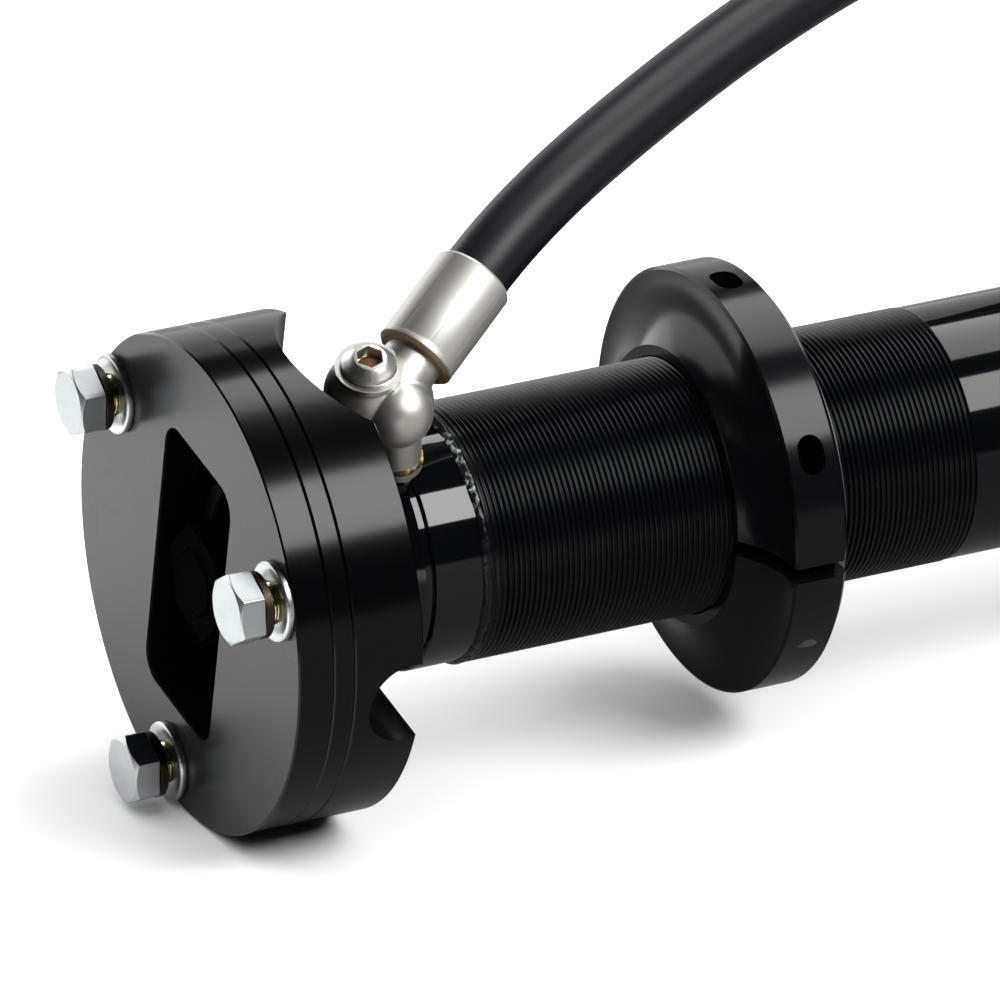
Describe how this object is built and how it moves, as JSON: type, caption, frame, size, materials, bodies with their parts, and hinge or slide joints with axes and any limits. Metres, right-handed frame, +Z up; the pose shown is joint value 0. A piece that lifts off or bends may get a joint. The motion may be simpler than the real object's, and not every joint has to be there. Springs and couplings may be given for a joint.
{
  "type": "telescopic hydraulic damper",
  "caption": "Adjustable telescopic hydraulic damper with a swivelling top mount, threaded spring perch, chrome rod, rod-end eye and a remote gas reservoir on a short hose.",
  "frame": {"origin": "centre of the top plate's front face, on the damper's axis", "axes": "+X along the damper from the top mount to the lower eye, +Z up with the damper lying on its side, +Y towards the reservoir"},
  "size_m": [0.5017, 0.16, 0.1431],
  "materials": {
    "black_anodised_satin": "satin black anodised, machined",
    "black_anodised_gloss": "gloss black, hard anodised",
    "black_thread": "satin black anodised thread",
    "zinc_bolt": "bright zinc plate",
    "zinc_washer": "bright zinc plate, stamped",
    "stainless": "cast and polished stainless steel",
    "stainless_screw": "turned stainless steel",
    "stainless_ferrule": "crimped stainless steel",
    "hose_rubber": "smooth matte rubber cover",
    "sealant": "clear cured thread sealant",
    "bearing_steel": "ground bearing steel",
    "black_oxide_steel": "black oxide, oiled",
    "chrome_rod": "hard chrome, ground",
    "turned_aluminium": "turned, plain",
    "shim_steel": "spring steel",
    "bronze_band": "bronze bearing strip",
    "seal_rubber": "moulded nitrile",
    "bump_foam": "microcellular foam",
    "nylon_ring": "black nylon",
    "blue_anodised": "blue anodised",
    "red_anodised": "red anodised",
    "brass_valve": "machined brass"
  },
  "bodies": {
    "damper_body": {"end_cap": "black_anodised_gloss", "top_stud": "black_oxide_steel", "stud_washer": "black_oxide_steel", "stud_nut": "black_oxide_steel", "damper_tube": "black_anodised_gloss", "threaded_sleeve": "black_thread", "sleeve_bead": "sealant", "seal_head": "black_anodised_gloss", "rod_bush": "bronze_band", "rod_seal": "seal_rubber", "rod_wiper": "seal_rubber", "seal_head_oring": "seal_rubber", "port_stem": "stainless", "banjo_fitting": "stainless", "banjo_seal_washer": "stainless_screw", "banjo_screw": "stainless_screw", "hose_ferrule": "stainless_ferrule", "hose": "hose_rubber", "reservoir_ferrule": "stainless_ferrule", "reservoir_union": "stainless", "reservoir_head": "black_anodised_gloss", "reservoir_tube": "black_anodised_gloss", "reservoir_end_cap": "black_anodised_gloss", "gas_valve": "brass_valve"},
    "mount_ball": {"bearing_ball": "bearing_steel"},
    "top_mount": {"top_plate": "black_anodised_satin", "spacer_plate": "black_anodised_satin", "bearing_housing": "black_anodised_satin", "bearing_race": "bearing_steel", "bearing_circlip": "black_oxide_steel", "mount_bolts": "zinc_bolt", "flat_washers": "zinc_washer", "spring_washers": "zinc_washer"},
    "thrust_ring": {"spring_thrust_ring": "nylon_ring"},
    "spring_perch": {"spring_perch": "black_anodised_satin", "pinch_screw": "black_oxide_steel"},
    "rod": {"piston_rod": "chrome_rod", "piston": "turned_aluminium", "piston_band": "bronze_band", "rebound_shims": "shim_steel", "compression_shims": "shim_steel", "piston_nut": "black_oxide_steel", "bump_stop": "bump_foam", "lower_spring_seat": "black_anodised_satin", "eye_lock_nut": "black_oxide_steel", "lower_eye": "black_anodised_satin", "lower_race": "bearing_steel", "lower_circlips": "black_oxide_steel"},
    "lower_ball": {"lower_ball": "bearing_steel", "lower_spacers": "turned_aluminium"},
    "rebound_knob": {"rebound_knob": "blue_anodised"},
    "floating_piston": {"floating_piston": "turned_aluminium", "floating_piston_oring": "seal_rubber"},
    "high_speed_knob": {"high_speed_knob": "red_anodised"},
    "low_speed_knob": {"low_speed_knob": "blue_anodised"}
  },
  "joints": [
    {"name": "mount_swivel", "type": "hinge", "parent": "damper_body", "child": "mount_ball", "pos_m": [0.01915, 0, 0], "axis": [1, 0, 0], "range_deg": [-14, 14]},
    {"name": "mount_tilt", "type": "hinge", "parent": "mount_ball", "child": "top_mount", "pos_m": [0.01915, 0, 0], "axis": [0, -0.2079, 0.9781], "range_deg": [-4, 4]},
    {"name": "perch_travel", "type": "slide", "parent": "damper_body", "child": "thrust_ring", "axis": [1, 0, 0], "range_m": [-0.035, 0.035]},
    {"name": "perch_turn", "type": "hinge", "parent": "thrust_ring", "child": "spring_perch", "pos_m": [0.115, 0, 0], "axis": [1, 0, 0], "range_deg": [-10506, 10506]},
    {"name": "rod_travel", "type": "slide", "parent": "damper_body", "child": "rod", "axis": [-1, 0, 0], "range_m": [0, 0.06]},
    {"name": "floating_piston_travel", "type": "slide", "parent": "damper_body", "child": "floating_piston", "axis": [1, 0, 0], "range_m": [0, 0.0155]},
    {"name": "lower_eye_swivel", "type": "hinge", "parent": "rod", "child": "lower_ball", "pos_m": [0.472, 0, 0], "axis": [0, 1, 0], "continuous": true},
    {"name": "rebound_adjust", "type": "hinge", "parent": "rod", "child": "rebound_knob", "pos_m": [0.445, 0, 0], "axis": [1, 0, 0], "range_deg": [0, 720]},
    {"name": "high_speed_adjust", "type": "hinge", "parent": "damper_body", "child": "high_speed_knob", "pos_m": [0.288, 0.086, -0.026], "axis": [1, 0, 0], "range_deg": [0, 720]},
    {"name": "low_speed_adjust", "type": "hinge", "parent": "damper_body", "child": "low_speed_knob", "pos_m": [0.285, 0.086, -0.026], "axis": [1, 0, 0], "range_deg": [0, 1080]}
  ],
  "couplings": [
    {"joint": "perch_turn", "follows": "perch_travel", "rad_per_m": 5236},
    {"joint": "floating_piston_travel", "follows": "rod_travel", "ratio": 0.25}
  ]
}
